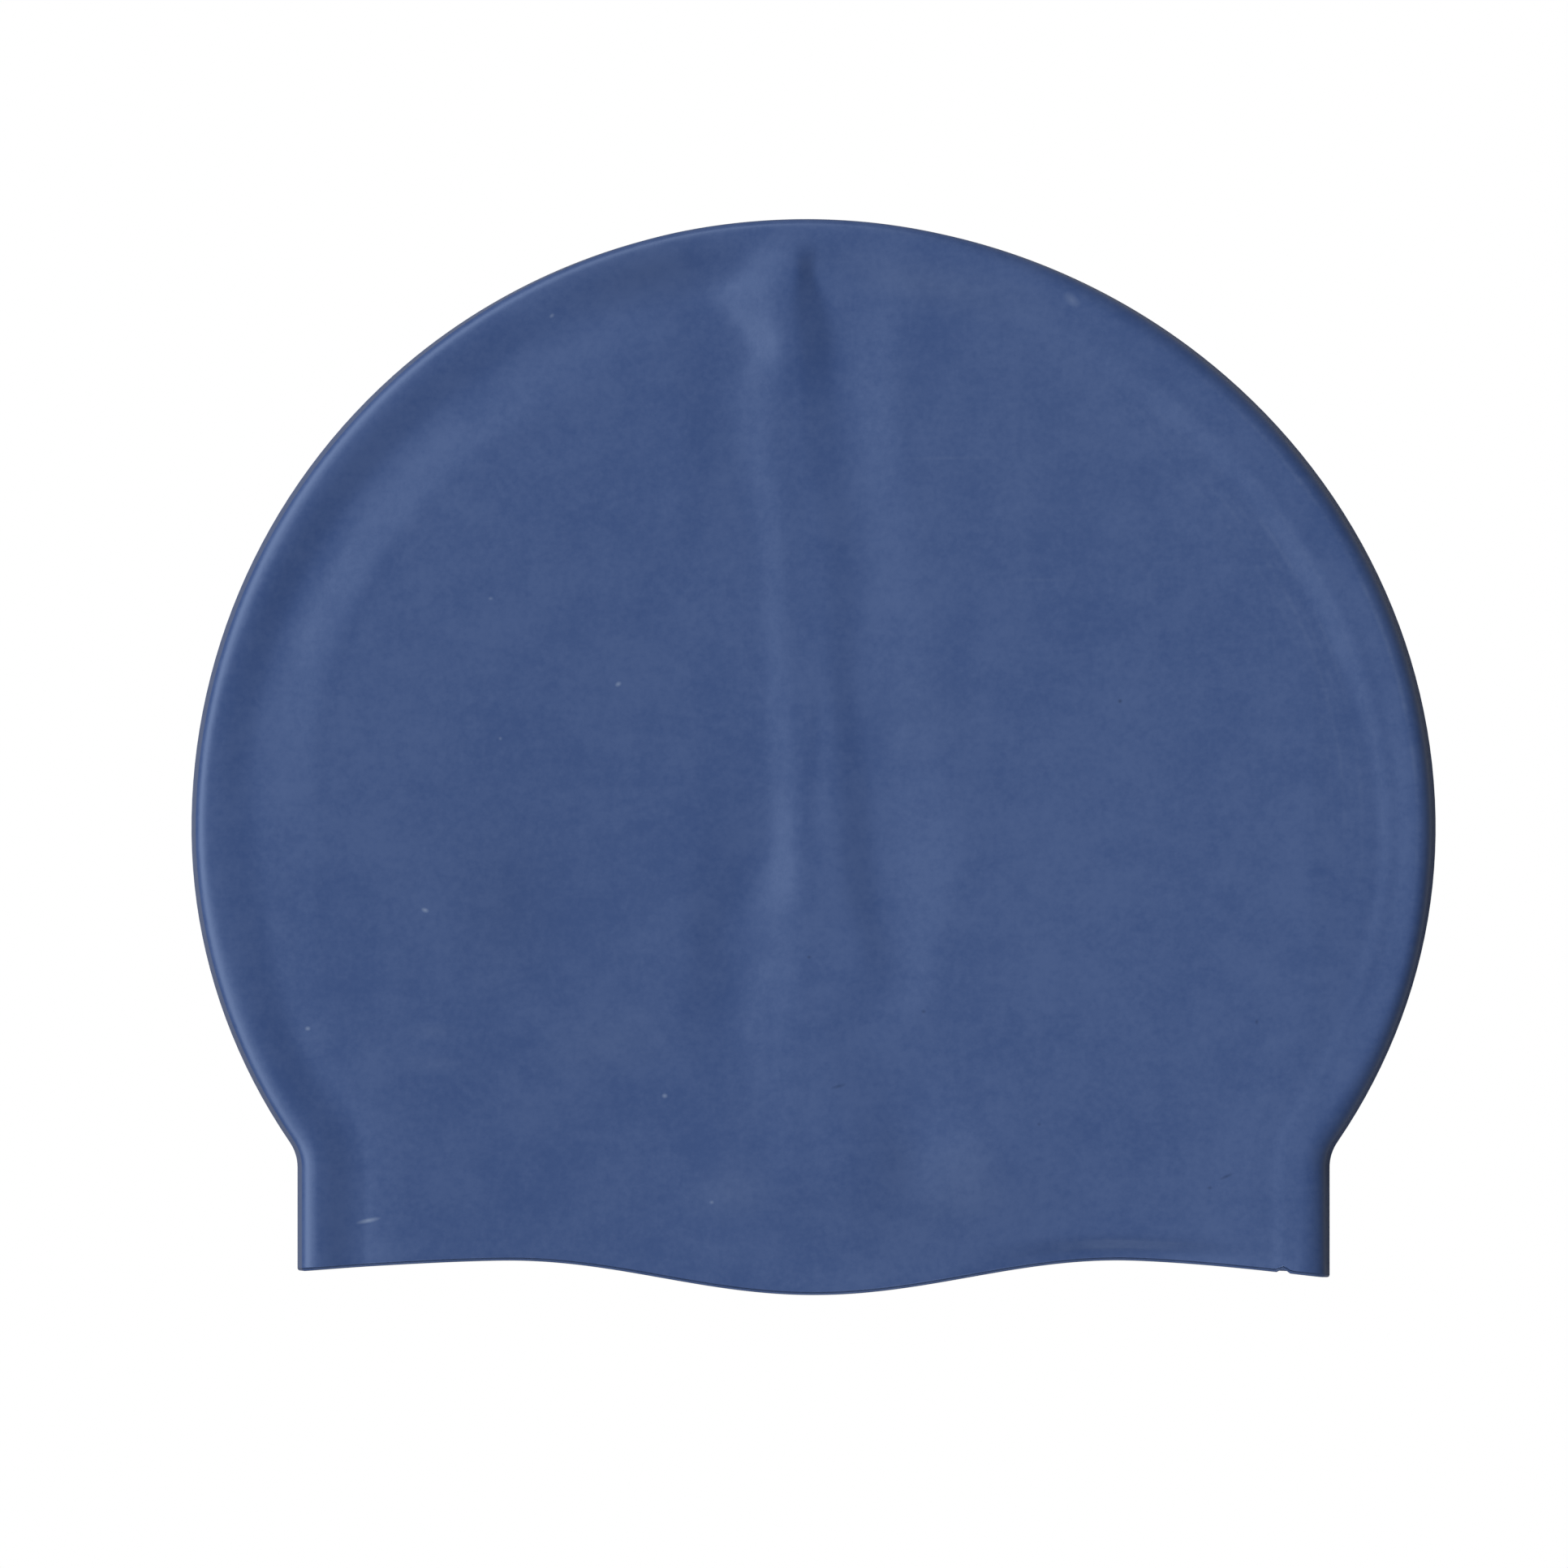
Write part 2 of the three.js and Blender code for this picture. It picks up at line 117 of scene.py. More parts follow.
# The crease across the cap: a valley in front, a ridge with a flat top from left to right, and a valley behind.
# up is a share of CAP_LENGTH above the lowest point of the lip, places across are shares of half CAP_WIDTH, and
# levels are shares of CREASE_DEPTH.
CREASE_DEPTH = 1.0
CREASE_RUN_OUT = 6.0  # how far inside the rim's crest the crease has its full height
CREASE_COLUMNS = (
    "up", "start", "front", "front_level", "left", "left_level",
    "right", "right_level", "back", "back_level", "end",
)
CREASE = np.array([
    (0.00, -0.15, -0.080, 0.00, -0.030, 0.00, 0.030, 0.00, 0.140, 0.00, 0.25),
    (0.05, -0.15, -0.080, 0.00, -0.030, 0.00, 0.030, 0.00, 0.140, 0.00, 0.25),
    (0.15, -0.18, -0.085, -0.08, -0.027, 0.08, 0.045, 0.12, 0.140, -0.30, 0.28),
    (0.21, -0.21, -0.130, -0.14, -0.010, 0.20, 0.000, 0.20, 0.120, -0.08, 0.21),
    (0.245, -0.22, -0.135, -0.34, -0.014, 0.20, 0.000, 0.20, 0.090, -0.05, 0.17),
    (0.28, -0.22, -0.127, -0.60, -0.010, 0.12, 0.030, 0.12, 0.134, -0.24, 0.20),
    (0.305, -0.21, -0.124, -0.66, -0.005, 0.10, 0.070, 0.12, 0.134, -0.34, 0.205),
    (0.335, -0.21, -0.136, -0.70, -0.008, 0.14, 0.060, 0.14, 0.122, -0.52, 0.22),
    (0.37, -0.22, -0.104, -0.72, -0.010, 0.28, 0.042, 0.26, 0.110, -0.64, 0.24),
    (0.41, -0.21, -0.083, -0.60, -0.017, 0.17, 0.034, 0.18, 0.105, -0.72, 0.25),
    (0.435, -0.21, -0.075, -0.46, -0.020, 0.16, 0.035, 0.17, 0.101, -0.68, 0.245),
    (0.465, -0.20, -0.077, -0.29, -0.020, 0.17, 0.033, 0.20, 0.096, -0.54, 0.235),
    (0.52, -0.34, -0.084, -0.30, -0.024, 0.16, 0.028, 0.12, 0.082, -0.42, 0.21),
    (0.57, -0.38, -0.088, -0.28, -0.033, 0.08, 0.018, 0.07, 0.074, -0.42, 0.205),
    (0.63, -0.36, -0.090, -0.24, -0.038, 0.05, 0.012, 0.06, 0.078, -0.38, 0.19),
    (0.70, -0.28, -0.100, -0.26, -0.045, 0.03, 0.006, -0.02, 0.074, -0.42, 0.175),
    (0.738, -0.22, -0.107, -0.33, -0.047, 0.05, -0.005, -0.06, 0.068, -0.50, 0.165),
    (0.78, -0.22, -0.118, -0.44, -0.058, -0.04, -0.030, -0.07, 0.058, -0.66, 0.155),
    (0.81, -0.22, -0.132, -0.46, -0.062, 0.00, -0.030, -0.06, 0.048, -0.72, 0.145),
    (0.845, -0.24, -0.140, -0.38, -0.042, 0.20, -0.030, 0.16, 0.042, -0.62, 0.14),
    (0.865, -0.25, -0.116, -0.28, -0.038, 0.60, -0.032, 0.58, 0.042, -0.56, 0.145),
    (0.885, -0.25, -0.122, -0.28, -0.038, 0.95, -0.034, 0.95, 0.043, -0.56, 0.15),
    (0.907, -0.27, -0.150, -0.28, -0.046, 1.12, -0.042, 1.12, 0.036, -0.46, 0.16),
    (0.928, -0.28, -0.180, -0.32, -0.044, 1.04, -0.040, 1.04, 0.022, -0.44, 0.17),
    (0.95, -0.28, -0.138, -0.18, -0.036, 0.74, -0.032, 0.74, 0.006, -0.50, 0.17),
    (0.975, -0.28, -0.120, -0.08, -0.040, 0.50, -0.036, 0.50, 0.010, -0.30, 0.18),
    (1.00, -0.28, -0.110, 0.00, -0.052, 0.00, -0.048, 0.00, 0.000, 0.00, 0.18),
])

# Fine folds: x and height above the lip of both ends, half width, height
FOLD_RUN_OUT = 0.3  # share of a fold's length over which each end runs out
FOLDS = [
    (0.3, 76.0, 1.0, 110.0, 2.2, -0.07),
    (-86.6, 0.0, -84.9, 42.0, 1.0, 0.03),
]

# Soft dents and swellings of the top face: x, height above the lip, half width, half length, height
DENTS = [
    (16.5, 24.0, 7.0, 12.0, -0.25),
    (34.0, 21.0, 12.0, 11.0, 0.25),
    (-12.0, 17.0, 9.0, 8.0, 0.2),
    (-66.0, 43.0, 9.0, 7.0, 0.12),
    (-35.0, 10.0, 45.0, 28.0, -0.5),
    (-25.0, 72.0, 14.0, 20.0, 0.25),
]

# The lip: a fine bead along its edge, and a stretch towards the nape that rolls down
LIP_BEAD = 0.1
LIP_BEAD_ABOVE = 0.9  # above the edge, and also half the bead's width
LIP_ROLL = 1.8
LIP_ROLL_EDGE = 1.0  # above the edge, where the roll is lowest
LIP_ROLL_REACH = 4.8
LIP_ROLL_AT = 56.0
LIP_ROLL_HALF_WIDTH = 34.0

# How finely the faces are divided
NECK_STATIONS = 10
ROUNDING_STATIONS = 8
FLANK_STATIONS = 48
TOP_STATIONS = 120
SHOULDER_ANGLE = math.radians(48)  # where the flank ends and the arch of the crown begins
MIDDLE_CROWDING = 0.5  # how much closer the stations are at the crease than at the shoulders
RIM_STEPS = 9
BAND_STEPS = 28
UNDERSIDE_STEPS = 6
LIP_STEPS = 6

HALF_WIDTH = CAP_WIDTH / 2
HALF_NECK = NECK_WIDTH / 2
RIM_THICKNESS = 2 * RIM_RADIUS + RIM_SIDE
CROWN_AXIS = CAP_LENGTH - WIDEST_ABOVE_LIP
SIDE_STATIONS = NECK_STATIONS + ROUNDING_STATIONS + FLANK_STATIONS


def smooth(share):
    t = np.clip(share, 0, 1)
    return t * t * (3 - 2 * t)


def eased(share):
    """From 0 to 1 at an even slope, rounded at both ends."""
    t = np.clip(share, 0, 1)
    low = np.minimum(t, SLOPE_EASE)
    even = np.clip(t - SLOPE_EASE, 0, 1 - 2 * SLOPE_EASE)
    high = np.maximum(t - (1 - SLOPE_EASE), 0)
    return (low**2 / (2 * SLOPE_EASE) + even + high - high**2 / (2 * SLOPE_EASE)) / (1 - SLOPE_EASE)


def bump(distance, half_width):
    """1 at its middle and 0 from its half width on."""
    return 1 - smooth(np.abs(distance) / half_width)


def row_at(table, columns, places):
    """Every column of a table at places between its rows, on smooth curves through the rows."""
    key = table[:, 0]
    slopes = np.gradient(table, key, axis=0)
    after = np.clip(np.searchsorted(key, places), 1, len(key) - 1)
    before = after - 1
    span = (key[after] - key[before])[..., None]
    t = np.clip((np.asarray(places) - key[before]) / (key[after] - key[before]), 0, 1)[..., None]
    rows = (
        table[before] * (1 + 2 * t) * (1 - t) ** 2
        + table[after] * (3 - 2 * t) * t**2
        + span * (slopes[before] * t * (1 - t) ** 2 - slopes[after] * t**2 * (1 - t))
    )
    return {name: rows[..., i] for i, name in enumerate(columns)}


def lip_rise(x):
    """Height of the lip's edge above its lowest point, at a place across."""
    lobe_half = EAR_LOBE_WIDTH / 2
    lobe = EAR_LOBE_DEPTH * (1 - np.cos(np.pi * np.minimum(np.abs(x) / lobe_half, 1))) / 2
    beyond = np.maximum(np.abs(x) - lobe_half, 0) / (HALF_NECK - lobe_half)
    drop = np.where(x < 0, FOREHEAD_CORNER_DROP, NAPE_CORNER_DROP)
    return lobe - drop * beyond**CORNER_DROP_POWER


def flank_points(angles):
    """Points on the forehead side of the crown's and flank's ellipses, above a straight lip."""
    axis = np.where(angles > 0, CROWN_AXIS, FLANK_AXIS)
    return np.stack([-HALF_WIDTH * np.cos(angles), WIDEST_ABOVE_LIP + axis * np.sin(angles)], axis=-1)


def side_points():
    """One side of the outline, from the lip's corner up to the shoulder."""
    corner_angle = -math.acos(HALF_NECK / HALF_WIDTH)
    corner = flank_points(np.array([corner_angle]))[0]
    flank_start = corner_angle + NECK_ROUNDING / FLANK_AXIS
    neck_top = np.array([-HALF_NECK, corner[1] - NECK_ROUNDING])
    rounding_end = flank_points(np.array([flank_start]))[0]
    lip_corner = np.array([-HALF_NECK, 0.0])
    neck = lip_corner + (neck_top - lip_corner) * (np.arange(NECK_STATIONS) / NECK_STATIONS)[:, None] ** 2
    t = np.linspace(0, 1, ROUNDING_STATIONS, endpoint=False)[:, None]
    rounding = (1 - t) ** 2 * neck_top + 2 * t * (1 - t) * corner + t**2 * rounding_end
    flank = flank_points(np.linspace(flank_start, SHOULDER_ANGLE, FLANK_STATIONS + 1))
    return np.concatenate([neck, rounding, flank])


def arch_points():
    """The arch between the shoulders, without its end points."""
    even = np.linspace(-1, 1, TOP_STATIONS + 1)[1:-1]
    crowded = even * (1 - MIDDLE_CROWDING * (1 - even * even))
    return flank_points(math.pi / 2 + crowded * (math.pi / 2 - SHOULDER_ANGLE))


def placed(x, y):
    """A point of the straight-lipped plan in the cap's frame: the crown leans and the lip waves."""
    above = np.maximum(y - WIDEST_ABOVE_LIP, 0) / CROWN_AXIS
    wave = lip_rise(x) * (1 - smooth(y / LIP_WAVE_REACH))
    nick = LIP_NICK * bump(x - LIP_NICK_AT, LIP_NICK_HALF_WIDTH) * (1 - smooth(y / LIP_NICK_REACH))
    return x - CROWN_LEAN * above**2, y + wave + nick - CAP_LENGTH / 2


def crease_height(x, y):
    """Height of the crease over the face, which is below 0 in its valleys."""
    row = row_at(CREASE, CREASE_COLUMNS, y / CAP_LENGTH + 0.5)
    across = x / HALF_WIDTH
    knots = [(row["start"], 0)]
    knots += [(row[name], row[name + "_level"]) for name in ("front", "left", "right", "back")]
    knots.append((row["end"], 0))
    height = 0
    for (before, low), (after, high) in zip(knots, knots[1:]):
        height = height + (high - low) * eased((across - before) / (after - before))
    return CREASE_DEPTH * height


def dents_height(x, y):
    """The sag of the whole face, its soft dents and swellings, and its fine folds."""
    across = np.clip(x / (HALF_WIDTH - BAND_WIDTH), -1, 1)
    towards_crown = smooth((y + CAP_LENGTH / 2 - WIDEST_ABOVE_LIP) / CROWN_AXIS)
    total = FACE_SAG * (across * across - 1) * (1 - CROWN_SAG_LOSS * towards_crown)
    for at_x, above_lip, half_x, half_y, height in DENTS:
        away = np.hypot((x - at_x) / half_x, (y + CAP_LENGTH / 2 - above_lip) / half_y)
        total += height * np.exp(-(away**2))
    for x0, above0, x1, above1, half_width, height in FOLDS:
        run, climb = x1 - x0, above1 - above0
        length = math.hypot(run, climb)
        past_x, past_y = x - x0, y + CAP_LENGTH / 2 - above0
        share = (past_x * run + past_y * climb) / length**2
        away = (past_x * climb - past_y * run) / length
        total += height * bump(away, half_width) * smooth(np.minimum(share, 1 - share) / FOLD_RUN_OUT)
    return total


def lip_height(x, above):
    """Height of the bead and the rolled stretch, at a place across and a height above the lip."""
    bead = LIP_BEAD * bump(above - LIP_BEAD_ABOVE, LIP_BEAD_ABOVE)
    fall = 1 - smooth((above - LIP_ROLL_EDGE) / (LIP_ROLL_REACH - LIP_ROLL_EDGE))
    roll = fall * bump(x - LIP_ROLL_AT, LIP_ROLL_HALF_WIDTH)
    return bead - LIP_ROLL * roll


class Mesh:
    """Collects blocks of points and the quads between them."""

    def __init__(self):
        self.points = []
        self.quads = []
        self.count = 0

    def add(self, x, y, z, inset, along):
        """Points, each with its distance in from the edge and its place along the outline."""
        block = np.stack(np.broadcast_arrays(x, y, z, inset, along), axis=-1)
        first = self.count
        self.points.append(block.reshape(-1, 5))
        self.count += self.points[-1].shape[0]
        return np.arange(first, self.count).reshape(block.shape[:-1])

    def grid(self, ids, flipped):
        """Quads between the rows and columns of a grid of points."""
        a, b, c, d = ids[:-1, :-1], ids[1:, :-1], ids[1:, 1:], ids[:-1, 1:]
        order = (a, d, c, b) if flipped else (a, b, c, d)
        self.quads.append(np.stack(order, axis=-1).reshape(-1, 4))

    def make(self, name):
        points = np.concatenate(self.points)
        quads = np.concatenate(self.quads)
        mesh = bpy.data.meshes.new(name)
        mesh.from_pydata((points[:, :3] * MM).tolist(), [], quads.tolist())
        for column, attribute in ((3, "inset"), (4, "along")):
            mesh.attributes.new(attribute, "FLOAT", "POINT").data.foreach_set("value", points[:, column])
        mesh.shade_smooth()
        made = bpy.data.objects.new(name, mesh)
        bpy.context.scene.collection.objects.link(made)
        return made


def stations():
    """Points round the crown from the lip's forehead corner to its nape corner, with the way inwards."""
    side = side_points()
    points = np.concatenate([side, arch_points(), side[::-1] * (-1, 1)])
    ahead = np.empty_like(points)
    ahead[1:-1] = points[2:] - points[:-2]
    ahead[0] = points[1] - points[0]
    ahead[-1] = points[-1] - points[-2]
    inward = np.stack([ahead[:, 1], -ahead[:, 0]], axis=-1)
    inward /= np.linalg.norm(inward, axis=1)[:, None]
    steps = np.linalg.norm(np.diff(points, axis=0), axis=1)
    along = np.concatenate([[0], np.cumsum(steps)]) / steps.sum()
    band = row_at(BAND, BAND_COLUMNS, along)
    band["along"] = along
    return points, inward, band


def face_plan(points, inward, band):
    """Plan and height of the face inside the band: rows from the lip up, each from forehead to nape."""
    edge = np.column_stack([points + inward * BAND_WIDTH, FACE_STEP * (band["step"] - band["early"])])
    left, right = edge[: SIDE_STATIONS + 1], edge[::-1][: SIDE_STATIONS + 1]
    arch = edge[SIDE_STATIONS : len(edge) - SIDE_STATIONS]
    span = (arch[:, 0] - arch[0, 0]) / (arch[-1, 0] - arch[0, 0])
    lip = edge[0] + (edge[-1] - edge[0]) * span[:, None]
    u = np.linspace(0, 1, TOP_STATIONS + 1)[None, :, None]
    v = ((left[:, 1] - left[0, 1]) / (left[-1, 1] - left[0, 1]))[:, None, None]
    across = left[:, None] * (1 - u) + right[:, None] * u
    upright = lip[None] * (1 - v) + arch[None] * v
    corners = (edge[0] * (1 - u) + edge[-1] * u) * (1 - v) + (arch[0] * (1 - u) + arch[-1] * u) * v
    return across + upright - corners


def add_skin(mesh, wall, flipped):
    """One side of the wall, outside or inside. Returns its edge along the lip as a closed loop."""
    points, inward, band = stations()
    plan = face_plan(points, inward, band)

    def add_ring(inset, height):
        at = points + inward * inset[:, None]
        x, y = placed(at[:, 0], at[:, 1])
        rings.append(mesh.add(x, y, height(x, y, at[:, 1]) if callable(height) else height, inset, along))

    rings = []
    along = band["along"]
    lean = RIM_LEAN * band["lean"]
    wide, high = RIM_RADIUS * band["rim"], RIM_RADIUS * band["rise"]
    for share in np.linspace(1, 0, UNDERSIDE_STEPS + 1)[:-1]:
        inset = wide + (BAND_WIDTH - wide) * share
        groove = UNDERSIDE_GROOVE * bump(inset - UNDERSIDE_GROOVE_AT, UNDERSIDE_GROOVE_HALF_WIDTH)
        add_ring(inset, groove + wall)
    turns = np.linspace(0, 1, RIM_STEPS + 1) * math.pi / 2
    corner = np.maximum(wide - wall, INSIDE_RADIUS)
    for turn in turns - math.pi / 2:
        add_ring(wide - corner * math.cos(turn), RIM_RADIUS + (RIM_RADIUS - wall) * math.sin(turn))
    crest = lean + wide
    for turn in turns:
        top = RIM_THICKNESS - np.maximum(high, wall)
        add_ring(crest - corner * math.cos(turn), top + np.maximum(high - wall, 0) * math.sin(turn))
    for portion in np.linspace(0, 1, BAND_STEPS + 1)[1:]:
        inset = crest + (BAND_WIDTH - crest) * portion
        share = inset / BAND_WIDTH
        step = FACE_STEP * band["step"] * smooth((share - band["start"]) / (band["end"] - band["start"]))
        bottom = band["at"] * BAND_WIDTH
        reach = np.where(inset < bottom, bottom - crest, band["far"] * BAND_WIDTH - bottom)
        from_bottom = np.clip(np.abs(inset - bottom) / reach, 0, 1)
        fade = np.where(inset < bottom, 0, band["fade"])
        groove = GROOVE_DEPTH * band["groove"] * (
            (1 - fade) * (1 - eased(from_bottom)) + fade * (1 - from_bottom) ** 2
        )
        early = FACE_STEP * band["early"] * smooth((inset - crest) / EARLY_REACH)
        run_out = smooth((inset - crest) / CREASE_RUN_OUT)
        sag_share = smooth(portion)
        level = RIM_THICKNESS + step - early - groove - wall

        def top_height(x, y, above):
            relief = crease_height(x, y) * run_out + dents_height(x, y) * sag_share
            return level + relief + lip_height(x, above)

        add_ring(inset, top_height)
    rings = np.stack(rings)
    mesh.grid(rings, flipped)

    last = rings.shape[1] - 1
    x, y = placed(plan[..., 0], plan[..., 1])
    top = RIM_THICKNESS + plan[..., 2] + crease_height(x, y) + dents_height(x, y) - wall
    top += lip_height(x, plan[..., 1])
    faces = []
    for edge, height in ((rings[-1], top), (rings[0], np.full_like(x, wall))):
        inner = mesh.add(x[:-1, 1:-1], y[:-1, 1:-1], height[:-1, 1:-1], BAND_WIDTH, 0.5)
        ids = np.empty(x.shape, int)
        ids[:-1, 1:-1] = inner
        ids[:, 0] = edge[: SIDE_STATIONS + 1]
        ids[:, -1] = edge[::-1][: SIDE_STATIONS + 1]
        ids[-1] = edge[SIDE_STATIONS : last - SIDE_STATIONS + 1]
        faces.append(ids)
    mesh.grid(faces[0], not flipped)
    mesh.grid(faces[1], flipped)
    return np.concatenate([rings[:, 0], faces[0][0, 1:-1], rings[::-1, -1], faces[1][0, -2:0:-1]])


def cap_shell():
    """The whole shell: both sides of the wall, joined by the rounded edge of the lip."""
    mesh = Mesh()
    outside = add_skin(mesh, 0.0, False)
    inside = add_skin(mesh, WALL, True)
    outside, inside = (np.append(loop, loop[0]) for loop in (outside, inside))
    every = np.concatenate(mesh.points)[:, :3]
    middle = (every[outside] + every[inside]) / 2
    half = (every[outside] - every[inside]) / 2
    strips = [outside]
    for i in range(1, LIP_STEPS):
        turn = math.pi * i / LIP_STEPS
        bead = middle + half * math.cos(turn)
        bead[:, 1] -= np.linalg.norm(half, axis=1) * math.sin(turn)
        ids = mesh.add(bead[:-1, 0], bead[:-1, 1], bead[:-1, 2], BAND_WIDTH, 0.5)
        strips.append(np.append(ids, ids[0]))
    strips.append(inside)
    mesh.grid(np.stack(strips), True)
    return mesh.make("moulded_shell")


class Finish:
    """Small helpers for the nodes of the cap's finish."""

    def __init__(self, name):
        self.material = bpy.data.materials.new(name)
        self.material.use_nodes = True
        self.tree = self.material.node_tree
        self.place = self.node("ShaderNodeTexCoord").outputs["Object"]

    def node(self, kind, **settings):
        made = self.tree.nodes.new(kind)
        for name, value in settings.items():
            setattr(made, name, value)
        return made

    def put(self, socket, value):
        if isinstance(value, bpy.types.NodeSocket):
            self.tree.links.new(value, socket)
        else:
            socket.default_value = value

    def math(self, operation, *values, clamp=False):
        made = self.node("ShaderNodeMath", operation=operation, use_clamp=clamp)
        for socket, value in zip(made.inputs, values):
            self.put(socket, value)
        return made.outputs[0]

    def ramp(self, value, low, high, to_low=0.0, to_high=1.0):
        made = self.node("ShaderNodeMapRange", interpolation_type="SMOOTHSTEP")
        for socket, setting in zip(made.inputs, (value, low, high, to_low, to_high)):
            self.put(socket, setting)
        return made.outputs[0]

    def noise(self, feature, detail, roughness, stretch=(1, 1, 1)):
        """Clouds whose largest feature is about the given size in millimetres."""
        shape = self.node("ShaderNodeMapping")
        self.put(shape.inputs["Vector"], self.place)
        self.put(shape.inputs["Scale"], stretch)
        made = self.node("ShaderNodeTexNoise")
        self.put(made.inputs["Vector"], shape.outputs[0])
        self.put(made.inputs["Scale"], 1 / (feature * MM))
        self.put(made.inputs["Detail"], detail)
        self.put(made.inputs["Roughness"], roughness)
        return made.outputs["Fac"]

    def attribute(self, name):
        return self.node("ShaderNodeAttribute", attribute_name=name).outputs["Fac"]

    def mix(self, share, first, second):
        made = self.node("ShaderNodeMix", data_type="RGBA")
        sockets = [socket for socket in made.inputs if socket.enabled]
        for socket, value in zip(sockets, (share, first, second)):
            self.put(socket, value)
        return next(socket for socket in made.outputs if socket.enabled)

    def bump(self, height, depth, normal=None):
        made = self.node("ShaderNodeBump")
        self.put(made.inputs["Height"], height)
        self.put(made.inputs["Distance"], depth * MM)
        if normal is not None:
            self.put(made.inputs["Normal"], normal)
        return made.outputs[0]

    def marks(self, table):
        """The strengths of all marks of a table at a place, added up."""
        total = 0.0
        for x, above_lip, half_length, half_width, turn, strength in table:
            oval = self.node("ShaderNodeMapping", vector_type="TEXTURE")
            self.put(oval.inputs["Vector"], self.place)
            self.put(oval.inputs["Location"], (x * MM, (above_lip - CAP_LENGTH / 2) * MM, 0))
            self.put(oval.inputs["Rotation"], (0, 0, math.radians(turn)))
            self.put(oval.inputs["Scale"], (half_length * MM, half_width * MM, 1))
            inside = self.node("ShaderNodeTexGradient", gradient_type="SPHERICAL")
            self.put(inside.inputs[0], oval.outputs[0])
            total = self.math("MULTIPLY_ADD", inside.outputs["Fac"], strength, total)
        return total


# Soft oval marks, some of them painted light and shade: x, height above the lip, half length, half width, turn
# in degrees, strength
PALE_SPECKS_AND_LIGHT = [
    (-34.5, 107.4, 0.7, 0.5, 30, 0.9),
    (-55.3, 97.8, 0.4, 0.4, 0, 0.5),
    (-68.6, 67.5, 0.8, 0.5, -20, 1.0),
    (-89.3, 46.6, 0.6, 0.5, 0, 0.9),
    (-26.3, 34.7, 0.6, 0.5, 0, 0.9),
    (-18.0, 15.9, 0.5, 0.4, 0, 0.6),
    (-57.0, 122.5, 0.5, 0.4, 0, 0.5),
    (-46.2, 172.4, 0.6, 0.4, 40, 0.6),
    (45.5, 175.2, 2.0, 1.1, -40, 0.35),
    (-78.6, 12.7, 2.4, 0.5, 12, 1.0),
    (24.0, 147.3, 10.0, 0.5, 1, 0.08),
    (39.8, 125.8, 7.0, 0.5, 0, 0.07),
    (-67.0, 46.2, 6.0, 1.8, 3, 0.08),
    (-67.0, 40.4, 6.5, 1.8, 0, 0.07),
    (-15.0, 18.0, 9.0, 7.0, 20, 0.10),
    (27.0, 21.0, 9.0, 10.0, 0, 0.08),
    (-36.0, 44.0, 14.0, 8.0, 10, 0.07),
    (38.0, 150.0, 34.0, 28.0, 0, 0.03),
    # Painted light: a lighter band inside the rim right of the crown's middle, where the step faces the light
    (22.0, 177.5, 24.0, 5.5, -12, 0.10),
    (18.0, 103.0, 14.0, 11.0, 0, 0.05),
]
DARK_SPECKS_AND_SHADE = [
    (54.1, 104.4, 0.5, 0.5, 0, 0.8),
    (19.4, 49.6, 0.5, 0.4, 0, 0.6),
    (-0.8, 59.2, 0.5, 0.4, 0, 0.6),
    (4.4, 36.4, 1.6, 0.4, 15, 0.5),
    (39.8, 29.7, 0.4, 0.4, 0, 0.5),
    (78.2, 47.8, 0.4, 0.6, 0, 0.6),
    (72.8, 20.5, 1.6, 0.35, 25, 0.6),
    (69.9, 18.5, 0.6, 0.4, 0, 0.5),
    (15.0, 24.0, 5.0, 9.0, 0, 0.12),
    (-55.0, 68.0, 12.0, 20.0, 0, 0.10),
    # Painted shade: the left half of the face darker than the right
    (-50.0, 75.0, 48.0, 75.0, 0, 0.06),
    # Painted shade: the band inside the rim left of the crown's middle, darker where its slope faces away from
    # the key light
    (-30.0, 180.0, 22.0, 7.5, 14, 0.24),
    (20.0, 14.0, 30.0, 14.0, 0, 0.12),
]
# Fine lines along the nape side of the rim: distance in from the edge, strength. The first, near the rim's
# crest, is a painted highlight; the others are lines that the mould left.
RIM_LINES_AND_HIGHLIGHT = [(3.4, 0.16), (9.8, 0.06), (13.2, 0.09), (14.9, 0.05), (16.3, 0.09), (18.4, 0.05)]
RIM_LINE_HALF_WIDTH = 0.7
RIM_LINES_FROM = (0.60, 0.72)  # places along the outline between which the lines set in
RIM_LINES_TO = (0.92, 0.76)  # and between which they die out

DEEP_BLUE = (0.0340, 0.0660, 0.1800, 1)
LIGHT_BLUE = (0.0492, 0.0846, 0.2050, 1)
PALE_SPECK_AND_HIGHLIGHT = (0.16, 0.21, 0.33, 1)
DARK_SPECK_AND_SHADE = (0.012, 0.026, 0.08, 1)
GLOSS_TINT = (0.60, 0.75, 1.0, 1)


